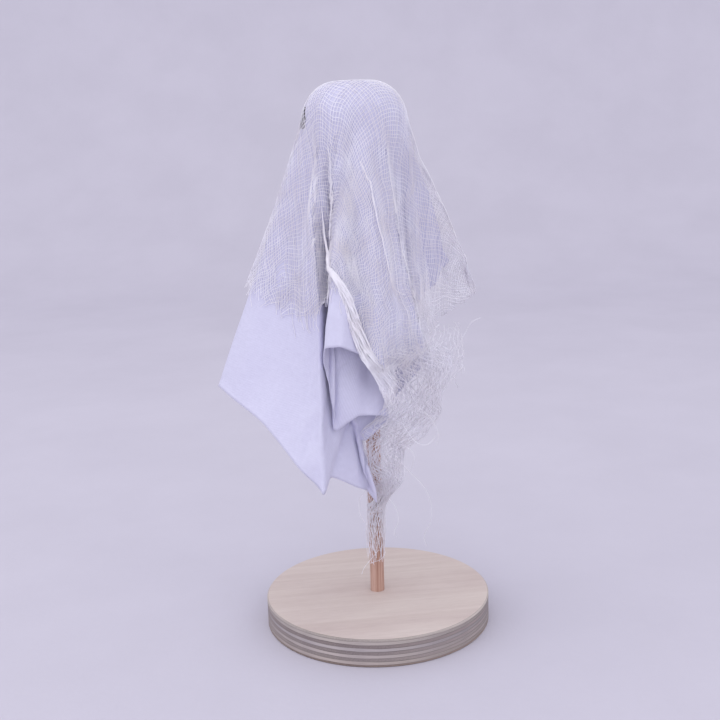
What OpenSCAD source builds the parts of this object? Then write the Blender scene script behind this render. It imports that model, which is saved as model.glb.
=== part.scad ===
// Draped ghost ornament: a cloth square and a square of open gauze hang over a round head form,
// which stands on a dowel post in a round plywood foot. Millimetres, +Z up, the face looks along -Y.
// The origin is the middle of the foot's underside.

/* [Foot] */
// Diameter of the plywood foot
foot_d = 101.6; // [80:0.1:140]
// Thickness of the plywood foot
foot_h = 12.7; // [9:0.1:19]
// Thickness of each of the two outer veneers
veneer_h = 1.1; // [0.6:0.1:1.8]
// Sanded bevel on the foot's two outer edges
foot_bevel = 0.4; // [0.1:0.1:0.6]
// Depth of the blind hole that the post stands in
hole_depth = 9.2; // [6:0.1:10]

/* [Post] */
// Diameter of the dowel post
post_d = 6.35; // [5:0.05:10]
// Bevel on the post's two ends
post_bevel = 0.4; // [0.1:0.1:1]
// Gap all round the post in the foot and in the head form
post_clear = 0.05; // [0.02:0.01:0.1]

/* [Head form] */
// Height of the whole figure, from the table to the crown of the gauze
figure_h = 242; // [200:1:300]
// Diameter of the head form
head_d = 40; // [36:1:46]
// Height of the head form
head_h = 34; // [30:1:40]
// Rounding of the head form's upper and lower edges
head_round = 14; // [12:0.5:15]
// How far the head form sits to the face side of the post
head_shift = 4; // [0:0.5:5]
// How deep the post goes into the head form
head_socket = 24; // [15:1:28]

/* [Cloth] */
// Side of the square that the sheet was cut from
sheet_w = 250; // [240:1:256]
// Thickness of the sheet
sheet_t = 0.6; // [0.4:0.1:0.8]
// Thickness of the gauze
gauze_t = 0.5; // [0.4:0.1:0.7]
// Gap between the head form and the sheet
seat_gap = 0.8; // [0.7:0.1:1]
// Gap between the sheet and the gauze
layer_gap = 1.1; // [1:0.1:1.5]
// Gap between the gauze's tail and the post
tail_gap = 0.4; // [0.3:0.1:1]

/* [Eyes] */
// Height of an eye
eye_h = 9; // [6:0.5:12]
// Width of an eye
eye_w = 7; // [5:0.5:9]
// Thickness of an eye's felt
eye_t = 0.5; // [0.3:0.1:0.6]
// Drop from the crown of the figure to the middle of an eye
eye_drop = 16; // [15:0.5:20]
// Bearing between the middle of the face and each eye, in degrees
eye_spread = 20; // [15:1:26]

/* [Hidden] */
overrun = 1;

core_plies = 7;
core_h = (foot_h - 2 * veneer_h) / core_plies;
hole_floor = foot_h - hole_depth;
hole_r = post_d / 2 + post_clear;

head_top = figure_h - seat_gap - sheet_t - layer_gap - gauze_t;
head_low = head_top - head_h;
head_flat = head_d / 2 - head_round;
socket_top = head_low + head_socket;
post_h = socket_top - hole_floor;

// How far an eye stands off the sheet's middle surface
eye_stand = sheet_t / 2 + (layer_gap - eye_t) / 2;
eye_sides = 20;

// The drape is laid out with bearing 0 to the near side's right, and is turned so that the face is at -Y.
drape_turn = 110;
face_bearing = 160;
sheet_mid = seat_gap + sheet_t / 2;
gauze_mid = seat_gap + sheet_t + layer_gap + gauze_t / 2;

// Where the cloth lets go of the head form's rounded crown, in degrees from the top
leave_angle = 65;
crown_angles = [0, 18, 36, 51, leave_angle];
// How far down each fold line the rings of points lie
fall_shares = [0.03, 0.07, 0.11, 0.16, 0.27, 0.42, 0.6, 0.8, 1];
// How much a fold line bows half way down, and the reach, as a share of the cut, at which it hangs straight
bow_share = 0.15;
bow_middle_share = 0.128;

// One row for each fold line of the sheet: its bearing on the crown, then the bearing, reach and drop of
// the place where its hem hangs, as shares of the cut, from the crown's middle.
sheet_shares = [
    [180, 184, 0.256, 0.515], // front fold's outer edge
    [186, 194, 0.232, 0.531],
    [193, 211, 0.200, 0.564],
    [201, 234, 0.188, 0.621],
    [210, 249, 0.193, 0.656], // near tip
    [216, 240, 0.136, 0.640],
    [223, 290, 0.051, 0.722], // near corner
    [231, 297, 0.095, 0.554],
    [237, 266, 0.108, 0.556],
    [245, 248, 0.120, 0.572],
    [250, 244, 0.132, 0.480],
    [255, 251, 0.166, 0.429], // short near panel
    [261, 260, 0.174, 0.419],
    [268, 270, 0.144, 0.429],
    [275, 283, 0.164, 0.445],
    [282, 298, 0.162, 0.445],
    [290, 325, 0.140, 0.458], // near panel's right edge
    [299, 338, 0.056, 0.470],
    [308, 352, 0.108, 0.500],
    [317, 358, 0.056, 0.556], // back corner
    [324, 367, 0.104, 0.480],
    [334, 377, 0.060, 0.412],
    [347, 380, 0.144, 0.360],
    [362, 386, 0.184, 0.320], // side wing
    [380, 402, 0.088, 0.360],
    [392, 407, 0.176, 0.388],
    [402, 424, 0.092, 0.464],
    [409, 434, 0.164, 0.528],
    [414, 444, 0.096, 0.604], // far back corner
    [421, 450, 0.160, 0.552],
    [431, 457, 0.080, 0.510],
    [443, 461, 0.200, 0.464], // far side's long folds
    [456, 470, 0.088, 0.480],
    [468, 474, 0.208, 0.488],
    [479, 483, 0.096, 0.552],
    [488, 486, 0.208, 0.600],
    [494, 490, 0.104, 0.632],
    [499, 494, 0.124, 0.656], // far corner
    [504, 500, 0.072, 0.632],
    [511, 506, 0.120, 0.636],
    [518, 514, 0.080, 0.600],
    [526, 521, 0.176, 0.568],
    [533, 535, 0.200, 0.548]
];

// The gauze lies over the fold lines that stand out: each one's row above, and how far down it the torn
// edge lies. The turn from the last back to the first closes it.
gauze_shares = [
    [0, 0.61], [1, 0.66], [2, 0.68], [3, 0.58], [4, 0.6], [11, 0.88], [12, 0.94], [13, 1], [14, 1.03],
    [15, 1.03], [16, 1], [22, 1], [23, 1.14], [25, 0.8], [27, 0.72], [29, 0.62], [31, 0.7], [33, 0.68],
    [35, 0.6], [41, 0.55], [42, 0.6]
];
gauze_steps = 2;

// The gauze's tail from its wide top to its last threads by the post. Each row has a section's bearing from
// the post, the distance from the post's surface to its middle and its drop from the top, then its half width
// and half depth, all as shares of the sheet's cut, and the bearing that its width lies along.
tail_shares = [
    [297, 0.131, 0.4605, 0.052, 0.005, 42],
    [302, 0.126, 0.503, 0.052, 0.007, 42],
    [308, 0.114, 0.548, 0.046, 0.010, 40],
    [315, 0.083, 0.600, 0.038, 0.014, 36],
    [320, 0.052, 0.648, 0.030, 0.015, 32],
    [312, 0.036, 0.688, 0.020, 0.011, 26],
    [311, 0.027, 0.736, 0.017, 0.009, 20],
    [293, 0.018, 0.788, 0.012, 0.008, 5],
    [275, 0.013, 0.848, 0.009, 0.005, -8],
    [246, 0.010, 0.896, 0.005, 0.003, -25]
];
tail_sides = 12;

function polar(bearing, r) = [r * cos(bearing), r * sin(bearing)];
function crown(angle, stand) = [
    head_flat + (head_round + stand) * sin(angle),
    head_top - head_round + (head_round + stand) * cos(angle)
];
function head_reach(z) =
    let (beyond = max(z - head_top + head_round, head_low + head_round - z, 0))
    beyond < head_round ? head_flat + sqrt(pow(head_round, 2) - pow(beyond, 2)) : 0;
function keep_clear(p, stand) =
    let (r = norm([p.x, p.y]), least = head_reach(p.z) == 0 ? 0 : head_reach(p.z) + stand)
    r < least ? [p.x * least / r, p.y * least / r, p.z] : p;

// A fold line is its bearing on the crown and the point where its hem hangs.
function fold_line(row) =
    let (xy = polar(row[1], row[2] * sheet_w))
    [row[0], [xy.x, xy.y, figure_h - row[3] * sheet_w]];
function between(a, b, share) = a + (b - a) * share;
function next_turn(a, b) = b[0] < a[0] ? [b[0] + 360, b[1]] : b;

function on_crown(line, angle, stand) =
    let (c = crown(angle, stand), xy = polar(line[0], c[0]))
    [xy.x, xy.y, c[1]];
// A fold that reaches far out hangs inside the straight line to its hem, and a deep valley outside it.
function bow(line, share) =
    bow_share * (bow_middle_share * sheet_w - norm([line[1].x, line[1].y])) * 4 * share * max(0, 1 - share);
function on_fall(line, share, stand, out) =
    let (
        p = between(on_crown(line, leave_angle, stand), line[1], share),
        r = norm([p.x, p.y]),
        bowed = r + out + bow(line, share)
    )
    keep_clear([p.x * bowed / r, p.y * bowed / r, p.z], stand);

// A cloth's middle surface: one column for each fold line, one ring for each height
function cloth_grid(lines, ends, stand, out) = [
    for (i = [0:len(lines) - 1]) concat(
        [for (a = crown_angles) on_crown(lines[i], a, stand)],
        [for (s = fall_shares) on_fall(lines[i], s * ends[i], stand, out)]
    )
];
function wrap(i, n) = (i + n) % n;
function unit(v) = v / norm(v);
function grid_normal(g, i, j) =
    let (
        n = len(g),
        along = g[i][min(j + 1, len(g[0]) - 1)] - g[i][max(j - 1, 0)],
        ahead = unit(cross(along, g[wrap(i + 1, n)][j] - g[i][j])),
        behind = unit(cross(along, g[i][j] - g[wrap(i - 1, n)][j]))
    )
    unit(ahead + behind);

// A cloth of one thickness about its middle surface, closed at the crown and along the hem
module cloth(g, crown_z, t) {
    n = len(g);
    m = len(g[0]);
    k = n * m;
    outer = [for (i = [0:n - 1]) for (j = [0:m - 1]) g[i][j] + grid_normal(g, i, j) * t / 2];
    inner = [for (i = [0:n - 1]) for (j = [0:m - 1]) g[i][j] - grid_normal(g, i, j) * t / 2];
    crowns = [[0, 0, crown_z + t / 2], [0, 0, crown_z - t / 2]];
    faces = [
        for (i = [0:n - 1]) let (a = i * m, b = wrap(i + 1, n) * m) each concat(
            [[b, a, 2 * k], [k + a, k + b, 2 * k + 1]],
            [for (j = [0:m - 2]) [b + j, b + j + 1, a + j + 1]],
            [for (j = [0:m - 2]) [b + j, a + j + 1, a + j]],
            [for (j = [0:m - 2]) [k + a + j + 1, k + b + j + 1, k + b + j]],
            [for (j = [0:m - 2]) [k + a + j, k + a + j + 1, k + b + j]],
            [[a + m - 1, b + m - 1, k + b + m - 1], [a + m - 1, k + b + m - 1, k + a + m - 1]]
        )
    ];
    polyhedron(points = concat(outer, inner, crowns), faces = faces, convexity = 10);
}

module ply(z, h, bevel_low = 0, bevel_high = 0) {
    r = foot_d / 2;
    translate([0, 0, z]) difference() {
        rotate_extrude($fn = 144) polygon([
            [0, 0], [r - bevel_low, 0], [r, bevel_low], [r, h - bevel_high], [r - bevel_high, h], [0, h]
        ]);
        if (z + h > hole_floor)
            translate([0, 0, max(0, hole_floor - z) - (z >= hole_floor ? overrun : 0)])
                cylinder(r = hole_r, h = h + 2 * overrun, $fn = 64);
    }
}

module face_veneer() {
    color("antiquewhite") ply(foot_h - veneer_h, veneer_h, bevel_high = foot_bevel);
}

// The core's plies lie crossed, so every second one shows its dark end grain.
module core_ply(i) {
    color(i % 2 == 1 ? "tan" : "burlywood") ply(veneer_h + (core_plies - i) * core_h, core_h);
}

module back_veneer() {
    color("burlywood") ply(0, veneer_h, bevel_low = foot_bevel);
}

module post() {
    r = post_d / 2;
    b = post_bevel;
    color("rosybrown") translate([0, 0, hole_floor]) rotate_extrude($fn = 64)
        polygon([[0, 0], [r - b, 0], [r, b], [r, post_h - b], [r - b, post_h], [0, post_h]]);
}

module head_form() {
    color("white") difference() {
        on_head() translate([0, 0, head_low]) rotate_extrude($fn = 96) intersection() {
            square([head_d / 2, head_h]);
            union() {
                square([head_flat, head_h]);
                translate([0, head_round]) square([head_d / 2, head_h - 2 * head_round]);
                for (z = [head_round, head_h - head_round])
                    translate([head_flat, z]) circle(r = head_round, $fn = 64);
            }
        }
        translate([0, 0, head_low - overrun]) cylinder(r = hole_r, h = head_socket + overrun, $fn = 64);
    }
}

module on_head() {
    rotate([0, 0, drape_turn]) translate([-head_shift, 0, 0]) children();
}

module sheet() {
    lines = [for (row = sheet_shares) fold_line(row)];
    g = cloth_grid(lines, [for (line = lines) 1], sheet_mid, 0);
    color("lavender") on_head() cloth(g, head_top + sheet_mid, sheet_t);
}

module gauze() {
    n = len(gauze_shares);
    picked = [for (pick = gauze_shares) fold_line(sheet_shares[pick[0]])];
    lines = [
        for (i = [0:n - 1]) for (step = [0:gauze_steps - 1])
            let (a = picked[i], b = next_turn(a, picked[wrap(i + 1, n)]))
            [between(a[0], b[0], step / gauze_steps), between(a[1], b[1], step / gauze_steps)]
    ];
    ends = [
        for (i = [0:n - 1]) for (step = [0:gauze_steps - 1])
            between(gauze_shares[i][1], gauze_shares[wrap(i + 1, n)][1], step / gauze_steps)
    ];
    g = cloth_grid(lines, ends, gauze_mid, gauze_mid - sheet_mid);
    color("ivory") on_head() cloth(g, head_top + gauze_mid, gauze_t);
}

function tail_section(row) =
    let (
        middle = polar(row[0], post_d / 2 + row[1] * sheet_w),
        wide = polar(row[5], row[3] * sheet_w),
        deep = polar(row[5] + 90, row[4] * sheet_w)
    )
    [
        for (k = [0:tail_sides - 1])
            let (
                turn = 360 * k / tail_sides,
                p = middle + wide * cos(turn) + deep * sin(turn),
                least = post_d / 2 + tail_gap,
                r = max(norm(p), least)
            )
            [p.x * r / norm(p), p.y * r / norm(p), figure_h - row[2] * sheet_w]
    ];

module gauze_tail() {
    n = tail_sides;
    rings = [for (row = tail_shares) tail_section(row)];
    last = len(rings) - 1;
    faces = concat(
        [for (k = [1:n - 2]) [0, k + 1, k]],
        [
            for (j = [0:last - 1]) for (k = [0:n - 1]) let (a = j * n, q = wrap(k + 1, n)) each [
                [a + k, a + q, a + n + k],
                [a + q, a + n + q, a + n + k]
            ]
        ],
        [for (k = [1:n - 2]) [last * n, last * n + k, last * n + k + 1]]
    );
    color("ivory") rotate([0, 0, drape_turn])
        polyhedron(points = [for (ring = rings) each ring], faces = faces, convexity = 6);
}

// The sheet's middle surface below the crown, at a bearing and a height
function at_height(line, z) =
    let (start = on_crown(line, leave_angle, sheet_mid))
    on_fall(line, (start.z - z) / (start.z - line[1].z), sheet_mid, 0);
function on_sheet(bearing, z) =
    let (
        lines = [for (row = sheet_shares) fold_line(row)],
        ring = concat(lines, [next_turn(lines[len(lines) - 1], lines[0])]),
        b = bearing < ring[0][0] ? bearing + 360 : bearing,
        i = max([for (k = [0:len(lines) - 1]) if (ring[k][0] <= b) k]),
        share = (b - ring[i][0]) / (ring[i + 1][0] - ring[i][0])
    )
    between(at_height(ring[i], z), at_height(ring[i + 1], z), share);

// A felt oval laid on the sheet to one side of the face's middle. Its outline has a ring of points half way
// in, so that the felt follows the cloth.
function eye_point(side, across, up, stand) =
    let (
        z = figure_h - eye_drop + up,
        bearing = face_bearing + side * eye_spread + across / (head_d / 2 + sheet_mid) * 180 / PI,
        p = on_sheet(bearing, z),
        r = norm([p.x, p.y])
    )
    [p.x * (r + stand) / r, p.y * (r + stand) / r, z];

module eye(side) {
    n = eye_sides;
    sheets = [
        for (stand = [eye_stand + eye_t, eye_stand]) concat(
            [eye_point(side, 0, 0, stand)],
            [
                for (share = [0.5, 1]) for (k = [0:n - 1])
                    let (turn = 360 * k / n)
                    eye_point(side, share * eye_w / 2 * cos(turn), share * eye_h / 2 * sin(turn), stand)
            ]
        )
    ];
    far = 2 * n + 1;
    faces = [
        for (k = [0:n - 1]) let (a = 1 + k, b = 1 + wrap(k + 1, n), c = a + n, d = b + n) each [
            [0, b, a], [a, b, c], [b, d, c],
            [far, far + a, far + b], [far + a, far + c, far + b], [far + b, far + c, far + d],
            [c, d, far + c], [d, far + d, far + c]
        ]
    ];
    color("black") on_head() polyhedron(points = [for (sheet = sheets) each sheet], faces = faces);
}

module eye_left() {
    eye(1);
}

module eye_right() {
    eye(-1);
}

face_veneer();
core_ply(1);  // core_ply_1
core_ply(2);  // core_ply_2
core_ply(3);  // core_ply_3
core_ply(4);  // core_ply_4
core_ply(5);  // core_ply_5
core_ply(6);  // core_ply_6
core_ply(7);  // core_ply_7
back_veneer();
post();
head_form();
sheet();
gauze();
gauze_tail();
eye_left();
eye_right();
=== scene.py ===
import math

import bmesh
import bpy
import numpy as np
from mathutils import Matrix, Vector
from mathutils.bvhtree import BVHTree


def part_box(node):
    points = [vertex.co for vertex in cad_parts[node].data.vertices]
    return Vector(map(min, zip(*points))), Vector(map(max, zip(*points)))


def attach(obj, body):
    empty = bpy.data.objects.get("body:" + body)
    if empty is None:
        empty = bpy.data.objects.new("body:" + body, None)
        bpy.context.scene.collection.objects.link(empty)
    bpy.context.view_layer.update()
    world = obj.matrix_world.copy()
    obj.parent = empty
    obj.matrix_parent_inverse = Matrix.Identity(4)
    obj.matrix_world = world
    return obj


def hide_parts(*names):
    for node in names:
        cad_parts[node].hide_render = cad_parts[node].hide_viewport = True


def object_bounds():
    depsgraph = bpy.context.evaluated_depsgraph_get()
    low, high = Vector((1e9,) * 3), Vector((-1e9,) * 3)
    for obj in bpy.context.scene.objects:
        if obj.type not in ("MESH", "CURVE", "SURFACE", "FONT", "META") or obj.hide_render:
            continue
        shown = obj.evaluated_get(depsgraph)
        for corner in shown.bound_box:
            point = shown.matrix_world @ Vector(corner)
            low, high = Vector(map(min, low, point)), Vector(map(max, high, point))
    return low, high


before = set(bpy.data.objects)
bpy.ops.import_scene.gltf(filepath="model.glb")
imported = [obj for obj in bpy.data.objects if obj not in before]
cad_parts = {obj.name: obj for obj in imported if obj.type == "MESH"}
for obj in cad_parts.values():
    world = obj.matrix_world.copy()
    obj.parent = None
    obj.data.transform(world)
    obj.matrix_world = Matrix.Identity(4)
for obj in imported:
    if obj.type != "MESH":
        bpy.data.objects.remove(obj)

cad_low, cad_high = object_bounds()

# The camera: a 55 mm lens on a 36 mm sensor, at about the height of the figure's head, looking a little
# down at the near side. The near side is where the sheet's short panel and the torn gauze hang.
near_side = Matrix.Rotation(math.radians(110), 4, "Z")
camera_place = Vector((-0.0048, -0.4737, 0.2247))
camera_pitch = math.radians(12.33)
camera_roll = math.radians(-1.8)


def put_in_scene(name, data):
    """A new object in the scene that holds a mesh, a lamp or a camera."""
    thing = bpy.data.objects.new(name, data)
    bpy.context.scene.collection.objects.link(thing)
    return thing


camera_data = bpy.data.cameras.new("camera")
camera_data.lens = 55
camera_data.sensor_width = 36
camera_data.clip_start = 0.02
camera = put_in_scene("camera", camera_data)
camera.matrix_world = (
    near_side
    @ Matrix.Translation(camera_place)
    @ Matrix.Rotation(math.radians(90) - camera_pitch, 4, "X")
    @ Matrix.Rotation(camera_roll, 4, "Z")
)
bpy.context.scene.camera = camera

# The stage: a pale paper sweep that the foot stands on, curved up into a backdrop behind it. One big soft
# lamp hangs overhead, a weak one stands on the left and a soft one at the near side, in a pale world.
stage_near = 0.9
stage_far = 1.6
stage_wide = 3.2
stage_bend = 0.7
stage_high = 1.5
bend_start, bend_steps = stage_far - stage_bend, 16
lamp_aim = Vector((0, 0, 0.12))


def srgb(r, g, b):
    """A colour as a picture shows it, from 0 to 255, in the renderer's own linear values."""
    steps = [c / 255 for c in (r, g, b)]
    return tuple(c / 12.92 if c <= 0.04045 else ((c + 0.055) / 1.055) ** 2.4 for c in steps) + (1,)


def new_mesh(name, points, faces, edges=()):
    """A mesh from its points and faces."""
    mesh = bpy.data.meshes.new(name)
    mesh.from_pydata([tuple(point) for point in points], edges, faces)
    return mesh


def new_material(name, color, roughness):
    """A material with its shader's base colour and roughness set, and its node tree to add to."""
    material = bpy.data.materials.new(name)
    material.use_nodes = True
    shader = material.node_tree.nodes["Principled BSDF"]
    shader.inputs["Base Color"].default_value = color
    shader.inputs["Roughness"].default_value = roughness
    shader.inputs["Specular IOR Level"].default_value = 0.25
    return material, material.node_tree, shader


def feed(tree, socket, value):
    """Links an input to an output socket, or sets it to a number or a colour."""
    if isinstance(value, bpy.types.NodeSocket):
        tree.links.new(value, socket)
    else:
        socket.default_value = value


def add_node(tree, kind, **inputs):
    """A shader node with inputs set by name: a number, a colour, or an output socket to link."""
    node = tree.nodes.new(kind)
    for name, value in inputs.items():
        feed(tree, node.inputs[name.replace("_", " ")], value)
    return node


def color_ramp(tree, factor, stops):
    """A colour ramp over factor. stops are pairs of a place and a colour."""
    ramp = tree.nodes.new("ShaderNodeValToRGB")
    tree.links.new(factor, ramp.inputs["Fac"])
    elements = ramp.color_ramp.elements
    while len(elements) < len(stops):
        elements.new(0.5)
    for element, (place, color) in zip(elements, stops):
        element.position = place
        element.color = color
    return ramp.outputs["Color"]


def object_place(tree):
    """A socket with each point's place on its piece."""
    return add_node(tree, "ShaderNodeTexCoord").outputs["Object"]


def noise(tree, place, scale, detail, roughness=0.5, distortion=0.0):
    """A noise's output socket."""
    return add_node(tree, "ShaderNodeTexNoise", Vector=place, Scale=scale, Detail=detail, Roughness=roughness,
                    Distortion=distortion).outputs["Fac"]


def cover(tree, shader, tone, relief, strength, distance):
    """Gives a shader its colour and its fine relief. Returns the relief's node."""
    tree.links.new(tone, shader.inputs["Base Color"])
    bump = add_node(tree, "ShaderNodeBump", Height=relief, Strength=strength, Distance=distance)
    tree.links.new(bump.outputs["Normal"], shader.inputs["Normal"])
    return bump


profile = [(-stage_near, 0.0), (bend_start, 0.0)]
for step in range(1, bend_steps + 1):
    angle = math.radians(90) * step / bend_steps
    profile.append((bend_start + stage_bend * math.sin(angle), stage_bend * (1 - math.cos(angle))))
profile.append((stage_far, stage_high))
stage_points = [(x, y, z) for y, z in profile for x in (-stage_wide / 2, stage_wide / 2)]
stage_faces = [(2 * i, 2 * i + 1, 2 * i + 3, 2 * i + 2) for i in range(len(profile) - 1)]
stage_mesh = new_mesh("sweep", stage_points, stage_faces)
stage_mesh.transform(near_side)
stage_mesh.shade_smooth()
paper, tree, shader = new_material("paper", srgb(206, 204, 224), 0.9)
place = object_place(tree)
crinkle = noise(tree, place, 9, 6, 0.6)
fibre = noise(tree, place, 420, 2)
tone = color_ramp(tree, crinkle, [(0.35, srgb(201, 197, 210)), (0.65, srgb(205, 201, 214))])
cover(tree, shader, tone, fibre, 0.25, 0.0004)
stage_mesh.materials.append(paper)
sweep = put_in_scene("sweep", stage_mesh)


def add_lamp(name, place, size, power):
    """A square soft lamp at place, seen from the near side, aimed at the middle of the figure."""
    data = bpy.data.lights.new(name, "AREA")
    data.shape = "SQUARE"
    data.size = size
    data.energy = power
    lamp = put_in_scene(name, data)
    turn = (lamp_aim - Vector(place)).to_track_quat("-Z", "Y").to_matrix().to_4x4()
    lamp.matrix_world = near_side @ Matrix.Translation(place) @ turn


add_lamp("overhead_lamp", (-0.35, -0.25, 1.35), 1.5, 3.2)
add_lamp("left_lamp", (-1.1, -0.7, 0.55), 0.8, 1.3)
add_lamp("near_lamp", (0.4, -1.3, 0.3), 1.1, 3.0)
world = bpy.data.worlds.new("world")
world.use_nodes = True
background = world.node_tree.nodes["Background"]
background.inputs["Color"].default_value = (0.93, 0.93, 1.0, 1)
background.inputs["Strength"].default_value = 1.0
bpy.context.scene.world = world
bpy.context.scene.view_settings.view_transform = "Standard"

# The foot: a disc sawn from 12.7 mm birch plywood and sanded, with a blind hole for the post. Its nine plies
# are glued face to face and lie crossed, so each one's edge turns from long grain to darker end grain.
ply_names = ["back_veneer"] + [f"core_ply_{number}" for number in range(7, 0, -1)] + ["face_veneer"]
foot_sides = 288
foot_bevel = 0.0004
foot_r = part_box("face_veneer")[1].x
post_low, post_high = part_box("post")
post_r = (post_high.x - post_low.x) / 2
hole_slack = 0.00005
hole_floor, hole_r = post_low.z, post_r + hole_slack
# How far a glue line rises and falls, and how near to the foot's two flat faces none does
ply_wave, ply_flat = 0.00009, 0.0006
face_grain_turn = math.radians(-118)
# Each wave round the edge: its share of the whole, its turns and its shift from one glue line to the next
ply_waves = [(1, 5, 1), (0.6, 13, 2.3), (0.35, 29, 4.1)]
ply_rows = 900


def lathe(name, profile, sides, material, wave=None):
    """A turned mesh about the Z axis. profile is a closed run of radius and height, anticlockwise. wave moves
    its points up by their bearing and height. Its UV map has the way round and the way along the profile."""
    bearings = np.linspace(0, 2 * math.pi, sides, endpoint=False)
    points = [(r * math.cos(b), r * math.sin(b), z + (wave(b, z) if wave else 0))
              for b in bearings for r, z in profile]
    n = len(profile)
    lengths = [0.0]
    for (r0, z0), (r1, z1) in zip(profile, profile[1:] + profile[:1]):
        lengths.append(lengths[-1] + math.hypot(r1 - r0, z1 - z0))
    widest = max(r for r, z in profile)
    faces, maps = [], []
    for i in range(sides):
        for j in range(n):
            here, there, k = i * n, (i + 1) % sides * n, (j + 1) % n
            if profile[j][0] == profile[k][0] == 0:
                continue
            face = [(here + j, i, j), (there + j, i + 1, j), (there + k, i + 1, j + 1), (here + k, i, j + 1)]
            if profile[j][0] == 0:
                face.pop(1)
            if profile[k][0] == 0:
                face.pop(2)
            faces.append([corner[0] for corner in face])
            maps += [(corner[1] / sides * 2 * math.pi * widest, lengths[corner[2]]) for corner in face]
    mesh = new_mesh(name, points, faces)
    uv = mesh.uv_layers.new(name="round")
    uv.data.foreach_set("uv", [value for pair in maps for value in pair])
    rim = bmesh.new()
    rim.from_mesh(mesh)
    bmesh.ops.remove_doubles(rim, verts=rim.verts, dist=1e-7)
    rim.to_mesh(mesh)
    rim.free()
    mesh.shade_smooth()
    mesh.set_sharp_from_angle(angle=math.radians(32))
    mesh.materials.append(material)
    return mesh


def add_piece(name, mesh, body, nodes):
    """Puts a finished mesh in the scene as the look of CAD nodes, on their body, and hides those nodes."""
    piece = put_in_scene(name, mesh)
    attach(piece, body)
    if nodes:
        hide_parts(*nodes)
    return piece


def math_node(tree, operation, a, b=0.0, c=0.0):
    """A math node's output socket. Each input is a number or a socket."""
    node = tree.nodes.new("ShaderNodeMath")
    node.operation = operation
    for socket, value in zip(node.inputs, (a, b, c)):
        feed(tree, socket, value)
    return node.outputs[0]


def mix_color(tree, factor, a, b, blend="MIX"):
    """A colour mix's output socket. factor is a number or a socket, a and b colours or sockets."""
    node = tree.nodes.new("ShaderNodeMix")
    node.data_type = "RGBA"
    node.blend_type = blend
    for socket, value in ((node.inputs[0], factor), (node.inputs[6], a), (node.inputs[7], b)):
        feed(tree, socket, value)
    return node.outputs[2]


def grain(tree, place, stretch, detail, roughness=0.5, distortion=0.0):
    """A noise drawn out along the wood. stretch is its scale along each axis."""
    drawn = add_node(tree, "ShaderNodeMapping", Vector=place, Scale=stretch).outputs["Vector"]
    return noise(tree, drawn, 1, detail, roughness, distortion)


def shades(tone, stops):
    """A ramp's stops from one tone. stops are pairs of a place and a share of the tone."""
    return [(place, srgb(*(min(255, c * share) for c in tone))) for place, share in stops]


def ply_wood(name, grain_on_x, low, high, tone):
    """Birch of one ply, with its edge's grain by its bearing and a glue line along its two borders."""
    material, tree, shader = new_material(name, (1, 1, 1, 1), 0.72)
    split = add_node(tree, "ShaderNodeSeparateXYZ", Vector=object_place(tree))
    wrap = tree.nodes.new("ShaderNodeUVMap")
    wrap.uv_map = "round"
    edge = wrap.outputs["UV"]
    across = split.outputs["X" if grain_on_x else "Y"]
    end_share = math_node(tree, "DIVIDE", math_node(tree, "ABSOLUTE", across), foot_r)
    end_share = math_node(tree, "MULTIPLY", end_share, end_share)
    fibres = grain(tree, edge, (90, 4200, 1), 4, 0.65)
    pores = grain(tree, edge, (2600, 3000, 1), 3, 0.7)
    patches = grain(tree, edge, (55, 160, 1), 3)
    long_grain = color_ramp(tree, fibres, shades(tone, [(0.3, 0.9), (0.55, 1), (0.75, 1.07)]))
    end_grain = color_ramp(tree, pores, shades(tone, [(0.3, 0.62), (0.5, 0.83), (0.72, 0.93)]))
    wood = mix_color(tree, end_share, long_grain, end_grain)
    shade = color_ramp(tree, patches, [(0.3, (0.86, 0.85, 0.87, 1)), (0.7, (1.05, 1.04, 1.02, 1))])
    wood = mix_color(tree, 1.0, wood, shade, "MULTIPLY")
    border = math_node(tree, "MINIMUM", math_node(tree, "SUBTRACT", split.outputs["Z"], low),
                       math_node(tree, "SUBTRACT", high, split.outputs["Z"]))
    ragged = math_node(tree, "MULTIPLY_ADD", pores, -0.0003, border)
    ragged = math_node(tree, "MULTIPLY_ADD", patches, -0.0004, ragged)
    line = add_node(tree, "ShaderNodeMapRange", Value=ragged, From_Min=-0.00036, From_Max=-0.00016,
                    To_Min=0.75, To_Max=0.0)
    glue = srgb(*(c * 0.58 for c in tone))
    wood = mix_color(tree, line.outputs["Result"], wood, glue)
    relief = math_node(tree, "MULTIPLY_ADD", pores, end_share, fibres)
    cover(tree, shader, wood, relief, 0.4, 0.00012)
    return material


def face_wood(name):
    """Rotary-cut birch for the two outer veneers: pale, with faint cloudy figure and short fine flecks."""
    material, tree, shader = new_material(name, (1, 1, 1, 1), 0.62)
    turn = add_node(tree, "ShaderNodeMapping", Vector=object_place(tree), Rotation=(0, 0, face_grain_turn))
    along = turn.outputs["Vector"]
    figure = grain(tree, along, (9, 42, 9), 4, 0.55, 0.6)
    flecks = grain(tree, along, (160, 2400, 160), 3, 0.6)
    rings = grain(tree, along, (3, 240, 3), 3)
    tone = color_ramp(tree, figure, [
        (0.3, srgb(203, 187, 182)), (0.5, srgb(212, 198, 192)), (0.72, srgb(218, 206, 199))])
    line = color_ramp(tree, rings, [(0.34, (0.93, 0.91, 0.9, 1)), (0.6, (1.01, 1.01, 1.01, 1))])
    tone = mix_color(tree, 0.8, tone, line, "MULTIPLY")
    fleck = color_ramp(tree, flecks, [(0.3, (0.9, 0.88, 0.87, 1)), (0.55, (1, 1, 1, 1))])
    tone = mix_color(tree, 0.7, tone, fleck, "MULTIPLY")
    cover(tree, shader, tone, flecks, 0.25, 0.00008)
    return material


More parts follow.
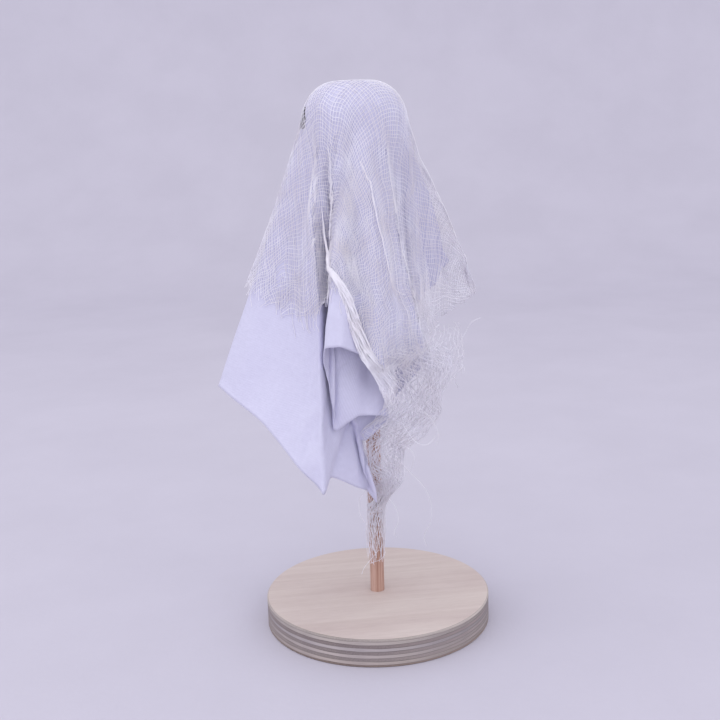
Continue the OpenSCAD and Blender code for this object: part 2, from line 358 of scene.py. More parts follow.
ply_levels = [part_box(name)[0].z for name in ply_names] + [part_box("face_veneer")[1].z]
ply_tones = [
    (168, 150, 143), (188, 176, 172), (176, 164, 162), (190, 179, 177), (170, 158, 157), (186, 177, 178),
    (166, 153, 152), (190, 180, 176), (206, 195, 189),
]
face_birch = face_wood("face_birch")


def glue_wave(bearing, z):
    """How far a glue line rises or falls at a place on the edge. The foot's two outer faces stay flat."""
    if z < ply_flat or z > ply_levels[-1] - ply_flat:
        return 0.0
    row = round(z * ply_rows)
    return ply_wave * sum(size * math.sin(turns * bearing + shift * row) for size, turns, shift in ply_waves)


for level, name in enumerate(ply_names):
    low, high = ply_levels[level], ply_levels[level + 1]
    under, over = (foot_bevel if name == veneer else 0 for veneer in ("back_veneer", "face_veneer"))
    profile = [(foot_r - under, low), (foot_r, low + under), (foot_r, high - over), (foot_r - over, high)]
    if high <= hole_floor:
        profile += [(0, high), (0, low)]
    elif low < hole_floor:
        profile += [(hole_r, high), (hole_r, hole_floor), (0, hole_floor), (0, low)]
    else:
        profile += [(hole_r, high), (hole_r, low)]
    profile = [point for i, point in enumerate(profile) if point != profile[i - 1]]
    edge_wood = ply_wood(name + "_birch", level % 2 == 0, low, high, ply_tones[level])
    mesh = lathe(name, profile, foot_sides, edge_wood, glue_wave)
    if name in ("face_veneer", "back_veneer"):
        mesh.materials.append(face_birch)
        for face in mesh.polygons:
            face.material_index = int(abs(face.normal.z) > 0.9)
    add_piece(name + "_disc", mesh, "foot", [name])

# The post: a 1/4 in hardwood dowel with straight reddish grain and fine open pores, pushed dry into the foot
# and into the head form.
dowel_bevel = 0.0004
dowel_sides, dowel_rings, dowel_end = 96, 40, 0.004
dowel_wood, tree, shader = new_material("dowel_wood", (1, 1, 1, 1), 0.55)
place = object_place(tree)
streaks = grain(tree, place, (900, 900, 14), 4, 0.6, 0.3)
pores = grain(tree, place, (3600, 3600, 70), 2)
bands = grain(tree, place, (260, 260, 5), 2)
tone = color_ramp(tree, streaks, [
    (0.3, srgb(150, 112, 100)), (0.48, srgb(184, 149, 136)), (0.62, srgb(196, 164, 152)),
    (0.8, srgb(208, 180, 170))])
tint = color_ramp(tree, bands, [(0.35, (0.9, 0.84, 0.81, 1)), (0.65, (1.04, 1.03, 1.03, 1))])
tone = mix_color(tree, 1.0, tone, tint, "MULTIPLY")
dark = color_ramp(tree, pores, [(0.3, (0.66, 0.55, 0.5, 1)), (0.42, (1, 1, 1, 1))])
tone = mix_color(tree, 0.75, tone, dark, "MULTIPLY")
cover(tree, shader, tone, pores, 0.35, 0.00008)
profile = [(0, post_low.z), (post_r - dowel_bevel, post_low.z), (post_r, post_low.z + dowel_bevel)]
profile += [(post_r, z) for z in np.linspace(post_low.z + dowel_end, post_high.z - dowel_end, dowel_rings)]
profile += [(post_r, post_high.z - dowel_bevel), (post_r - dowel_bevel, post_high.z), (0, post_high.z)]
add_piece("dowel_post", lathe("dowel_post", profile, dowel_sides, dowel_wood), "post", ["post"])

# The head form: a plain turned softwood knob under the cloth, with a blind hole for the post. The cloth hides
# it from every side, so it keeps its turned shape and a plain pale grain.
head_wood, tree, shader = new_material("head_wood", (1, 1, 1, 1), 0.7)
rings = grain(tree, object_place(tree), (420, 420, 24), 3)
tone = color_ramp(tree, rings, [(0.35, srgb(205, 186, 160)), (0.65, srgb(228, 213, 190))])
tree.links.new(tone, shader.inputs["Base Color"])
head_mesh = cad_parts["head_form"].data
head_mesh.materials.clear()
head_mesh.materials.append(head_wood)

# The sheet: a 250 mm square of plain-woven bluish-white cotton, cut raw, laid over the head form off its
# middle and let hang. Its mesh starts on the fold lines below and is then settled as cloth. The folds that
# show are held down their length, and the others at the hem alone, while the cloth between them settles.
sheet_cut = 0.25
cut_left, cut_right, cut_near, cut_far = -0.152, 0.098, -0.121, 0.129
sheet_thick = 0.0004
sheet_mesh_size = 0.0025
sheet_weave = 0.0009
# The cloth rests this far off the head form, and is hung a little further off it before it settles
seat_gap, hang_slack = 0.0008, 0.0003
head_shift = 0.004
head_low, head_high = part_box("head_form")
head_round = 0.014
head_flat = (head_high.y - head_low.y) / 2 - head_round
leave_angle = math.radians(65)
# Each row: the fold's place on the edge of the cut, in mm from the crown's middle; its bearing on the crown
# and at the hem, in degrees; its reach from the crown's axis and its drop from the top, as shares of the cut.
sheet_folds = [
    (-152, -4, 180, 184, 0.256, 0.515), (-152, -14, 186, 194, 0.232, 0.531),
    (-152, -32, 193, 211, 0.200, 0.564), (-152, -60, 201, 234, 0.188, 0.630),
    (-152, -80, 210, 249, 0.193, 0.676), (-152, -88, 216, 240, 0.138, 0.660),
    (-152, -121, 223, 292, 0.056, 0.745), (-126, -121, 227, 267, 0.044, 0.630),
    (-100, -121, 231, 297, 0.106, 0.566), (-80, -121, 237, 266, 0.108, 0.556),
    (-70, -121, 245, 245, 0.120, 0.590), (-48, -121, 250, 242, 0.132, 0.480),
    (-38, -121, 255, 248, 0.166, 0.429), (-26, -121, 261, 259, 0.172, 0.424),
    (-10, -121, 268, 268, 0.150, 0.440), (0, -121, 275, 281, 0.166, 0.458),
    (10, -121, 282, 299, 0.138, 0.464), (22, -121, 290, 325, 0.142, 0.472),
    (44, -121, 299, 338, 0.056, 0.470), (70, -121, 308, 352, 0.108, 0.500),
    (98, -121, 317, 358, 0.056, 0.556), (98, -92, 324, 367, 0.104, 0.480),
    (98, -62, 334, 377, 0.060, 0.412), (98, -34, 347, 380, 0.144, 0.360),
    (98, -5, 362, 386, 0.184, 0.320), (98, 30, 380, 402, 0.088, 0.360),
    (98, 56, 392, 407, 0.176, 0.388), (98, 84, 402, 424, 0.092, 0.464),
    (98, 108, 409, 434, 0.164, 0.528), (98, 129, 414, 444, 0.096, 0.604),
    (76, 129, 421, 450, 0.160, 0.552), (46, 129, 431, 457, 0.080, 0.510),
    (16, 129, 443, 461, 0.200, 0.464), (-14, 129, 456, 470, 0.088, 0.480),
    (-44, 129, 468, 474, 0.208, 0.488), (-74, 129, 479, 483, 0.096, 0.552),
    (-104, 129, 488, 486, 0.208, 0.600), (-130, 129, 494, 490, 0.104, 0.632),
    (-152, 129, 499, 494, 0.124, 0.656), (-152, 110, 504, 500, 0.072, 0.632),
    (-152, 84, 511, 506, 0.120, 0.636), (-152, 60, 518, 514, 0.080, 0.600),
    (-152, 38, 526, 521, 0.176, 0.568), (-152, 18, 533, 535, 0.200, 0.548),
]
on_figure = near_side @ Matrix.Translation((-head_shift, 0, 0))


def round_cut(x, y):
    """How far round the cut's edge a point of it lies, from the far left corner by the left side."""
    side = cut_far - cut_near
    return np.select(
        [x <= cut_left + 1e-6, y <= cut_near + 1e-6, x >= cut_right - 1e-6],
        [cut_far - y, side + x - cut_left, 2 * side + y - cut_near],
        3 * side + cut_right - x,
    )


def hang(x, y, stand):
    """Places on the hung cloth for points of its flat cut, in the figure's own frame. stand is how far the
    cloth stands off the head form."""
    rows = np.array(sheet_folds)
    hem_turn = np.radians(rows[:, 3])
    hems = np.stack([
        rows[:, 4] * sheet_cut * np.cos(hem_turn), rows[:, 4] * sheet_cut * np.sin(hem_turn),
        cad_high.z - rows[:, 5] * sheet_cut,
    ], 1)
    edge = round_cut(rows[:, 0] / 1000, rows[:, 1] / 1000)
    edge = np.where(edge < edge[0], edge + 4 * sheet_cut, edge)
    edge = np.append(edge, edge[0] + 4 * sheet_cut)
    bearings = np.append(rows[:, 2], rows[0, 2] + 360)
    hems = np.vstack([hems, hems[:1]])
    share = np.maximum.reduce([x / cut_right, x / cut_left, y / cut_far, y / cut_near, np.full_like(x, 1e-6)])
    place = round_cut(x / share, y / share)
    place = np.where(place < edge[0], place + 4 * sheet_cut, place)
    bearing = np.radians(np.interp(place, edge, bearings))
    hem = np.stack([np.interp(place, edge, hems[:, axis]) for axis in range(3)], 1)
    bend = head_round + stand
    crown_z = head_high.z - head_round
    leave_r = head_flat + bend * math.sin(leave_angle)
    leave_z = np.full_like(x, crown_z + bend * math.cos(leave_angle))
    leave = np.stack([leave_r * np.cos(bearing), leave_r * np.sin(bearing), leave_z], 1)
    fall = np.linalg.norm(hem - leave, axis=1)
    over = head_flat + bend * leave_angle
    run = share * (over + fall)
    arc = np.clip((run - head_flat) / bend, 0, leave_angle)
    r = np.where(run < head_flat, run, head_flat + bend * np.sin(arc))
    points = np.stack([r * np.cos(bearing), r * np.sin(bearing), crown_z + bend * np.cos(arc)], 1)
    points += np.clip((run - over) / fall, 0, None)[:, None] * (hem - leave)
    return points


def cut_grid(left, right, near, far, size):
    """A flat grid of points over a cut, and its quads."""
    across = np.linspace(left, right, round((right - left) / size) + 1)
    along = np.linspace(near, far, round((far - near) / size) + 1)
    x, y = (v.ravel() for v in np.meshgrid(across, along))
    n = len(across)
    quads = [(j * n + i, j * n + i + 1, (j + 1) * n + i + 1, (j + 1) * n + i)
             for j in range(len(along) - 1) for i in range(n - 1)]
    return x, y, quads


sheet_x, sheet_y, sheet_quads = cut_grid(cut_left, cut_right, cut_near, cut_far, sheet_mesh_size)
sheet_places = hang(sheet_x, sheet_y, seat_gap + hang_slack)
# Two soft pleats start high on the head. Each row: the distance down the cut, the pleat's bearing on it in
# degrees, and how far its ridge and the hollow to its right stand off, in mm.
sheet_pleats = [
    [(12, 238, 0, 0), (22, 233, 2.2, 0), (33, 228, 3.6, 0), (50, 218, 3.8, -1), (70, 211, 2.5, -2),
     (100, 208, 0, 0)],
    [(30, 268, 0, 0), (43, 268, 2.6, 0), (55, 271, 3.0, -1), (78, 273, 2.6, -2.5), (100, 274, 1, -2),
     (118, 275, 0, 0)],
]
# A pleat's half widths to its left and its right, its hollow's place and half width, and what is held, in mm
pleat_left, pleat_right = 9, 3
hollow_off, hollow_wide = 8, 4
held_wide, held_lift = 1.6, 0.8
# How firmly the cloth is held on its place while it settles, from 0 to 1, and how far from the crown's middle
crown_hold, hem_hold, fold_hold, pleat_hold = 1, 0.9, 0.6, 0.5
crown_held, fold_held = 0.008, sheet_mesh_size * 0.8
# The folds that show are held at these shares of their length, and the others at the hem alone
held_shares = (1, 0.85, 0.7, 0.55, 0.4)
shown_folds = (0, 1, *range(4, 18), *range(23, 26))
sheet_far = np.hypot(sheet_x, sheet_y) * 1000
sheet_turn = np.degrees(np.arctan2(sheet_y, sheet_x)) % 360
pleat_held = np.zeros(len(sheet_x))
for pleat in sheet_pleats:
    far, turn, ridge, hollow = (np.array(column) for column in zip(*pleat))
    off = (sheet_turn - np.interp(sheet_far, far, turn)) * np.radians(1) * sheet_far
    lift = np.interp(sheet_far, far, ridge) * np.exp(-(off / np.where(off < 0, pleat_left, pleat_right)) ** 2)
    lift += np.interp(sheet_far, far, hollow) * np.exp(-((off - hollow_off) / hollow_wide) ** 2)
    away = sheet_places * (1, 1, 0)
    away /= np.maximum(np.linalg.norm(away, axis=1, keepdims=True), 1e-6)
    sheet_places = sheet_places + away * lift[:, None] / 1000
    on_ridge = (np.abs(off) < held_wide) & (lift > held_lift)
    pleat_held = np.maximum(pleat_held, np.where(on_ridge, pleat_hold, 0))


def settle(places, quads, held, wall_mesh):
    """Settles hung cloth over a wall with a cloth simulation, and gives its places back. It runs at ten times
    the cloth's size, so that its gaps lie in the simulation's range."""
    grown, frames, stiff, self_gap = 10, 30, 20, 0.0007
    scene = bpy.context.scene
    cloth = put_in_scene("settling", new_mesh("settling", places * grown, quads))
    group = cloth.vertex_groups.new(name="held")
    for i, weight in enumerate(held):
        if weight > 0:
            group.add([i], float(weight), "REPLACE")
    wall_mesh = wall_mesh.copy()
    wall_mesh.transform(Matrix.Scale(grown, 4))
    wall = put_in_scene("wall", wall_mesh)
    wall.modifiers.new("collision", "COLLISION")
    wall.collision.thickness_outer = seat_gap * grown
    wall.collision.cloth_friction = 20
    modifier = cloth.modifiers.new("cloth", "CLOTH")
    rule = modifier.settings
    rule.quality = 5
    rule.mass = 0.2
    rule.air_damping = 5
    rule.tension_stiffness = rule.compression_stiffness = stiff
    rule.shear_stiffness = stiff / 4
    rule.bending_stiffness = 5
    rule.tension_damping = rule.compression_damping = rule.shear_damping = 10
    rule.bending_damping = 2
    rule.vertex_group_mass = "held"
    rule.pin_stiffness = 2
    touch = modifier.collision_settings
    touch.use_self_collision = True
    touch.self_distance_min = self_gap * grown
    touch.distance_min = 0.004
    touch.collision_quality = 3
    modifier.point_cache.frame_start = 1
    modifier.point_cache.frame_end = frames
    for step in range(1, frames + 1):
        scene.frame_set(step)
    settled = cloth.evaluated_get(bpy.context.evaluated_depsgraph_get())
    out = np.zeros(len(places) * 3)
    settled.data.vertices.foreach_get("co", out)
    for thing in (cloth, wall):
        bpy.data.objects.remove(thing)
    scene.frame_set(1)
    return out.reshape(-1, 3) / grown


head_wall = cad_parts["head_form"].data.copy()
head_wall.transform(on_figure.inverted())
sheet_held = np.where(np.hypot(sheet_x, sheet_y) < crown_held, crown_hold, pleat_held)
for number, row in enumerate(sheet_folds):
    for share in held_shares if number in shown_folds else (1,):
        far = np.hypot(sheet_x - share * row[0] / 1000, sheet_y - share * row[1] / 1000)
        hold = hem_hold if share == 1 else fold_hold
        sheet_held = np.maximum(sheet_held, np.where(far < fold_held, hold, 0))
sheet_places = settle(sheet_places, sheet_quads, sheet_held, head_wall)

sheet_mesh = new_mesh("sheet_cloth", sheet_places, sheet_quads)
sheet_mesh.transform(on_figure)
cut_map = sheet_mesh.uv_layers.new(name="cut")
for loop in sheet_mesh.loops:
    cut_map.data[loop.index].uv = (sheet_x[loop.vertex_index], sheet_y[loop.vertex_index])
sheet_mesh.shade_smooth()
cotton, tree, shader = new_material("cotton", srgb(210, 208, 231), 0.85)
shader.inputs["Sheen Weight"].default_value = 0.15
cut_place = tree.nodes.new("ShaderNodeUVMap")
cut_place.uv_map = "cut"
threads = add_node(tree, "ShaderNodeSeparateXYZ", Vector=cut_place.outputs["UV"])
warp, weft = (
    math_node(tree, "SINE", math_node(tree, "MULTIPLY", threads.outputs[axis], 2 * math.pi / sheet_weave))
    for axis in ("X", "Y")
)
weave = math_node(tree, "MULTIPLY", warp, weft)
place = object_place(tree)
slub = noise(tree, place, 500, 4, 0.65)
crease = noise(tree, place, 42, 3, 0.55)
shade = math_node(tree, "MULTIPLY_ADD", weave, 0.35, slub)
tone = mix_color(tree, shade, srgb(203, 201, 224), srgb(216, 214, 237))
thread = cover(tree, shader, tone, weave, 0.5, 0.00008)
fold = add_node(tree, "ShaderNodeBump", Height=crease, Strength=0.5, Distance=0.0015)
tree.links.new(fold.outputs["Normal"], thread.inputs["Normal"])
sheet_mesh.materials.append(cotton)
sheet = add_piece("draped_sheet", sheet_mesh, "figure", ["sheet"])
rounding = sheet.modifiers.new("rounding", "SUBSURF")
rounding.levels = rounding.render_levels = 1
thickness = sheet.modifiers.new("thickness", "SOLIDIFY")
thickness.thickness = sheet_thick
thickness.offset = 0

# The eyes: two ovals of black craft felt, 7 by 9 mm, glued on the sheet under the gauze. Each is laid on the
# settled sheet point by point, so that it follows the cloth round the head.
eye_high, eye_wide = 0.009, 0.007
eye_drop = 0.016
face_bearing = 160
eye_spread = 30
head_r, clear_of_head = 0.0211, 0.06
felt_thick, felt_gap, felt_backing = 0.0005, 0.00026, 0.00025
sheet_tree = BVHTree.FromPolygons([tuple(p) for p in sheet_places], sheet_quads)
felt, tree, shader = new_material("black_felt", srgb(30, 29, 33), 0.95)
fuzz = noise(tree, object_place(tree), 2600, 3, 0.7)
tone = color_ramp(tree, fuzz, [(0.35, srgb(18, 17, 20)), (0.65, srgb(52, 50, 56))])
cover(tree, shader, tone, fuzz, 0.6, 0.0002)
eye_rings, eye_spokes = 7, 40
eye_meshes = []
for name, side in (("eye_left", 1), ("eye_right", -1)):
    points = []
    for ring in range(eye_rings + 1):
        share = ring / eye_rings
        for spoke in range(eye_spokes if ring else 1):
            turn = 2 * math.pi * spoke / eye_spokes
            ragged = 1 + 0.02 * math.sin(7 * turn + side) + 0.012 * math.sin(17 * turn)
            across = share * ragged * eye_wide / 2 * math.cos(turn)
            height = cad_high.z - eye_drop + share * ragged * eye_high / 2 * math.sin(turn)
            bearing = math.radians(face_bearing + side * eye_spread) + across / head_r
            aim = Vector((math.cos(bearing), math.sin(bearing), 0))
            start = Vector((0, 0, height)) + aim * clear_of_head
            spot, normal, face, far = sheet_tree.ray_cast(start, -aim)
            lift = felt_gap + felt_thick * math.sqrt(max(0, 1 - share ** 6))
            points.append(spot + (aim + normal).normalized() * lift)
    faces = [(0, 1 + i, 1 + (i + 1) % eye_spokes) for i in range(eye_spokes)]
    for ring in range(eye_rings - 1):
        a, b = 1 + ring * eye_spokes, 1 + (ring + 1) * eye_spokes
        faces += [(a + i, b + i, b + (i + 1) % eye_spokes, a + (i + 1) % eye_spokes)
                  for i in range(eye_spokes)]
    mesh = new_mesh(name, points, faces)
    mesh.shade_smooth()
    mesh.materials.append(felt)
    eye_meshes.append(mesh.copy())
    mesh.transform(on_figure)
    mesh.update()
    if mesh.polygons[0].normal.dot(on_figure.to_3x3() @ (points[0] - Vector((0, 0, points[0].z)))) < 0:
        mesh.flip_normals()
        eye_meshes[-1].flip_normals()
    piece = add_piece(name + "_felt", mesh, "figure", [name])
    backing = piece.modifiers.new("backing", "SOLIDIFY")
    backing.thickness = felt_backing
    backing.offset = -1
eye_trees = [BVHTree.FromPolygons([v.co for v in eye.vertices], [tuple(f.vertices) for f in eye.polygons])
             for eye in eye_meshes]

# The gauze: a torn square of cream open-weave cotton laid over the sheet. Every yarn is its own tube. The
# yarns lie crossed on the flat piece, are clipped to its torn outline and are carried on to the hung gauze.
gauze_pitch = 0.0015
yarn_r, yarn_sides, yarn_step = 0.00014, 3, 0.0017
gauze_turn = math.radians(52)
gauze_gap, yarn_gap, eye_gap = 0.0006, 0.00048, 0.0004
gauze_refine, gauze_levels = 0.002, 60
# The longest loose end that a yarn may have past the torn edge, the usual one, and the least
gauze_fray, usual_fray, least_fray = 0.012, 0.0034, 0.001
edge_fray = 0.0015
# How the hung gauze is smoothed: the steps, how often it is lifted off the sheet, and each step's share
relax_steps, lift_every, relax_share = 22, 7, 0.4
# How much of a column's place comes from its length along the gauze, at the edge and on the way down
even_share, level_share = 0.6, 0.2
flare_power = 2.5
# How far the yarns slip off their straight lines, slowly and from yarn to yarn
slow_slip, quick_slip = 0.00024, 0.00022
# Each row: a bearing on the sheet's flat cut, in degrees; how far down it the gauze's torn edge lies from the
# crown, and how far the edge stands off the sheet, in mm. Between rows far apart the gauze hangs straight.
gauze_edge = [
    (177, 97, 3), (182, 101, 3), (187, 106, 2), (194, 107, 0), (201, 105, 0), (207, 103, 0), (213, 101, 0),
    (220, 98, 0), (227, 93, 0), (233, 88, 0), (240, 85, 0), (247, 88, 0), (253, 95, 0), (259, 105, 0),
    (265, 117, 0), (271, 123, 0), (277, 125, 0), (281, 125, 0), (284, 123, 0), (341, 108, 4), (346, 112, 11),
    (352, 117, 20), (358, 117, 26), (363, 106, 17), (369, 98, 8), (389, 92, 3), (397, 98, 2), (408, 104, 2),
    (420, 96, 2), (443, 94, 2), (456, 97, 2), (468, 98, 2), (488, 100, 2), (499, 97, 2), (511, 94, 2),
    (526, 90, 2), (533, 93, 3),
]
# Each row: a torn place's bearing and distance from the crown on the flat piece, and its half lengths, in mm.
# One family of yarns is lost there and the other runs on across it.
gauze_holes = [
    (199, 92, 3, 7), (284, 108, 4, 9), (309, 96, 5, 10), (372, 104, 5, 8), (352, 112, 5, 5), (398, 76, 4, 7),
    (430, 84, 4, 8), (470, 78, 4, 7), (505, 76, 3, 7),
]


def grid_at(grid, row, column):
    """Places between a grid's points. row and column are where each lies in it."""
    i = np.clip(row.astype(int), 0, grid.shape[0] - 2)
    j = np.clip(column.astype(int), 0, grid.shape[1] - 2)
    down, across = (row - i)[..., None], (column - j)[..., None]
    return ((grid[i, j] * (1 - across) + grid[i, j + 1] * across) * (1 - down)
            + (grid[i + 1, j] * (1 - across) + grid[i + 1, j + 1] * across) * down)


def on_sheet(x, y):
    """Places on the settled sheet for points of its flat cut, run on straight past its hem."""
    share = np.maximum.reduce([x / cut_right, x / cut_left, y / cut_far, y / cut_near, np.ones_like(x)])
    grid = sheet_places.reshape(round((cut_far - cut_near) / sheet_mesh_size) + 1, -1, 3)
    inner = 0.85
    hem, before = (
        grid_at(grid, (part * y / share - cut_near) / sheet_mesh_size,
                (part * x / share - cut_left) / sheet_mesh_size)
        for part in (1, inner)
    )
    return hem + (share - 1)[..., None] * (hem - before) / (1 - inner)


def hung_columns(rows):
    """Columns of points of gauze laid over the sheet, in the figure's own frame. Each has its bearing on the
    flat piece, its length to the torn edge and the edge's stand-off, and runs on past it for the fray."""
    rows = np.array(rows + [(rows[0][0] + 360,) + rows[0][1:]], dtype=float)
    run = np.linspace(0, 1, gauze_levels)[None, :] * (rows[:, 1, None] / 1000 + gauze_fray)
    turn = np.radians(rows[:, 0, None])
    lines = on_sheet(run * np.cos(turn), run * np.sin(turn))
    near_edge = -8
    spots = [0.0]
    for i in range(len(rows) - 1):
        n = max(1, round(np.linalg.norm(lines[i + 1, near_edge] - lines[i, near_edge]) / gauze_refine))
        spots += [i + (k + 1) / n for k in range(n)]
    spots = np.array(spots)
    i = np.minimum(spots.astype(int), len(rows) - 2)
    u = (spots - i)[:, None, None]
    points = lines[i] * (1 - u) + lines[i + 1] * u
    bearing, length, off = (np.interp(spots, np.arange(len(rows)), rows[:, k]) for k in range(3))
    even = bearing[0] + 360 * way_along(points[:, near_edge])
    return points, np.radians((1 - even_share) * bearing + even_share * even), length / 1000, off / 1000


def way_along(points):
    """How far along a run each of its points lies, from 0 to 1."""
    steps = np.linalg.norm(np.diff(points, axis=0), axis=1)
    return np.append(0, np.cumsum(steps)) / steps.sum()


crown_kept, clear_of_skirt = 0.012, 0.1
beside_face = 0.0012


def outermost(points, gap):
    """Moves points that lie under the sheet's outermost face straight out from the crown's axis on to it."""
    for i, (x, y, z) in enumerate(points):
        r = math.hypot(x, y)
        if r < crown_kept:
            continue
        aim = Vector((x / r, y / r, 0))
        start = Vector((0, 0, z)) + aim * clear_of_skirt
        spot, normal, face, far = sheet_tree.ray_cast(start, -aim, clear_of_skirt)
        if spot is not None and math.hypot(spot.x, spot.y) + gap > r:
            points[i] = spot + aim * gap
    return points


def push_out(points, tree, gap, reach=0.02):
    """Moves points that lie inside a surface, or closer to it than gap, out along its normal."""
    for i, p in enumerate(points):
        spot, normal, face, far = tree.find_nearest(Vector(p), reach)
        if spot is None:
            continue
        off = Vector(p) - spot
        height = off.dot(normal)
        if height < gap and (off - height * normal).length < beside_face:
            points[i] = Vector(p) + (gap - height) * normal
    return points


gauze_net, gauze_bearings, gauze_lengths, gauze_off = hung_columns(gauze_edge)
for step in range(relax_steps):
    ring = gauze_net[:-1]
    if step % lift_every == 0:
        ring = outermost(ring.reshape(-1, 3).copy(), gauze_gap).reshape(ring.shape)
    side = (np.roll(ring, 1, 0) + np.roll(ring, -1, 0)) / 2
    down = ring.copy()
    down[:, 1:-1] = (ring[:, :-2] + ring[:, 2:]) / 2
    smooth = ring + relax_share * ((side + down) / 2 - ring)
    smooth[:, 0] = smooth[:, 0].mean(0)
    smooth = push_out(smooth.reshape(-1, 3), sheet_tree, gauze_gap)
    for eye_tree in eye_trees:
        smooth = push_out(smooth, eye_tree, eye_gap, 0.003)
    smooth = smooth.reshape(ring.shape)
    gauze_net = np.vstack([smooth, smooth[:1]])
base = (gauze_bearings - gauze_bearings[0]) / (2 * math.pi)
for k in range(2, gauze_levels):
    way = way_along(gauze_net[:, k])
    spaced = (1 - level_share) * base + level_share * way
    gauze_net[:, k] = np.stack([np.interp(spaced, way, gauze_net[:, k, axis]) for axis in range(3)], 1)
aim = gauze_net * (1, 1, 0)
aim /= np.maximum(np.linalg.norm(aim, axis=2, keepdims=True), 1e-6)
flare = gauze_off[:, None] * np.linspace(0, 1, gauze_levels)[None, :] ** flare_power
gauze_net = gauze_net + aim * flare[:, :, None]


def on_net(x, y):
    """Places on the hung gauze for points of the flat piece, with how far each lies inside the torn edge."""
    far = np.hypot(x, y)
    turn = np.mod(np.arctan2(y, x) - gauze_bearings[0], 2 * math.pi) + gauze_bearings[0]
    column = np.interp(turn, gauze_bearings, np.arange(len(gauze_bearings)))
    length = np.interp(column, np.arange(len(gauze_lengths)), gauze_lengths)
    level = np.minimum(far / (length + gauze_fray), 1) * (gauze_levels - 1)
    return grid_at(gauze_net.transpose(1, 0, 2), level, column), length - far


chance = np.random.RandomState(7)
whole_turn = 2 * math.pi
waves = [(chance.uniform(0, whole_turn), chance.uniform(200, 520), chance.uniform(0, whole_turn))
         for wave in range(14)]


def drift(x, y, shift):
    """A smooth small drift of the yarns off their straight lines, as they slip in an open weave."""
    return sum(np.sin(rate * (x * math.cos(turn) + y * math.sin(turn)) + phase + shift)
               for turn, rate, phase in waves)


yarns = []
gauze_far = gauze_lengths.max() + gauze_fray
for family in range(2):
    turn = gauze_turn + family * math.pi / 2
    count = int(2 * gauze_far / gauze_pitch)
    for number in range(count):
        offset = -gauze_far + (number + 0.5 + chance.uniform(-0.22, 0.22)) * gauze_pitch
        t = np.arange(-gauze_far, gauze_far, yarn_step)
        side = np.full_like(t, offset)
        x = t * math.cos(turn) - side * math.sin(turn)
        y = t * math.sin(turn) + side * math.cos(turn)
        loose = np.clip(np.hypot(x, y) / 0.1, 0.25, 1)
        slip = slow_slip * drift(x, y, 1.7 * family) * loose
        ripple = np.sin(t * chance.uniform(500, 1100) + chance.uniform(0, 6))
        slip += quick_slip * loose * ripple * chance.uniform(0.2, 1)
        x, y = x - slip * math.sin(turn), y + slip * math.cos(turn)
        places, inside = on_net(x, y)
        far = np.maximum(np.hypot(x, y), 1e-6)
        outward = np.abs(x * math.cos(turn) + y * math.sin(turn)) / far
        ends = [min(gauze_fray - least_fray, least_fray + chance.exponential(usual_fray)) for end in range(2)]
        slack = np.where(t < 0, ends[0], ends[1]) * outward - edge_fray
        keep = inside > -slack
        for spot, (bearing, distance, wide, high) in enumerate(gauze_holes):
            if spot % 2 != family:
                continue
            middle = math.radians(bearing)
            out = x * math.cos(middle) + y * math.sin(middle) - distance / 1000
            across = y * math.cos(middle) - x * math.sin(middle)
            size = chance.uniform(0.55, 1.15)
            keep &= (across / (wide * size / 1000)) ** 2 + (out / (high * size / 1000)) ** 2 > 1
        keep &= far < gauze_far
        start = 0
        for i in range(1, len(t) + 1):
            if i == len(t) or keep[i] != keep[start]:
                if keep[start] and i - start > 2:
                    yarns.append(places[start:i])
                start = i


def spin_tree():
    """The Geometry Nodes tree that turns the edges of a mesh into round yarns."""
    group = bpy.data.node_groups.new("spin_yarn", "GeometryNodeTree")
    inputs = {"Geometry": "Geometry", "Yarn radius": "Float", "Sides": "Int", "Yarn": "Material"}
    for name, kind in inputs.items():
        group.interface.new_socket(name, in_out="INPUT", socket_type="NodeSocket" + kind)
    group.interface.new_socket("Geometry", in_out="OUTPUT", socket_type="NodeSocketGeometry")
    given, result = group.nodes.new("NodeGroupInput"), group.nodes.new("NodeGroupOutput")
    curve, ring, sweep, whole, dress = (group.nodes.new("GeometryNode" + kind) for kind in (
        "MeshToCurve", "CurvePrimitiveCircle", "CurveToMesh", "RealizeInstances", "SetMaterial"))
    for giver, output, taker, socket in (
        (given, "Geometry", curve, "Mesh"), (given, "Sides", ring, "Resolution"),
        (given, "Yarn radius", ring, "Radius"), (curve, "Curve", sweep, "Curve"),
        (ring, "Curve", sweep, "Profile Curve"), (sweep, "Mesh", whole, "Geometry"),
        (whole, "Geometry", dress, "Geometry"), (given, "Yarn", dress, "Material"),
        (dress, "Geometry", result, "Geometry"),
    ):
        group.links.new(giver.outputs[output], taker.inputs[socket])
    return group


spin = spin_tree()


def yarn_tubes(name, runs, radius, sides, material):
    """Sweeps a round yarn along each run of points with a Geometry Nodes tree, as one mesh."""
    edges, first = [], 0
    for run in runs:
        edges += [(first + i, first + i + 1) for i in range(len(run) - 1)]
        first += len(run)
    holder = put_in_scene(name + "_wire", new_mesh(name, np.vstack(runs), [], edges))
    modifier = holder.modifiers.new("spin", "NODES")
    modifier.node_group = spin
    given = {"Yarn radius": radius, "Sides": sides, "Yarn": material}
    for item in spin.interface.items_tree:
        if item.in_out == "INPUT" and item.name in given:
            modifier[item.identifier] = given[item.name]
    mesh = bpy.data.meshes.new_from_object(holder.evaluated_get(bpy.context.evaluated_depsgraph_get()))
    bpy.data.objects.remove(holder)
    mesh.name = name
    mesh.materials.clear()
    mesh.materials.append(material)
    mesh.shade_smooth()
    return mesh


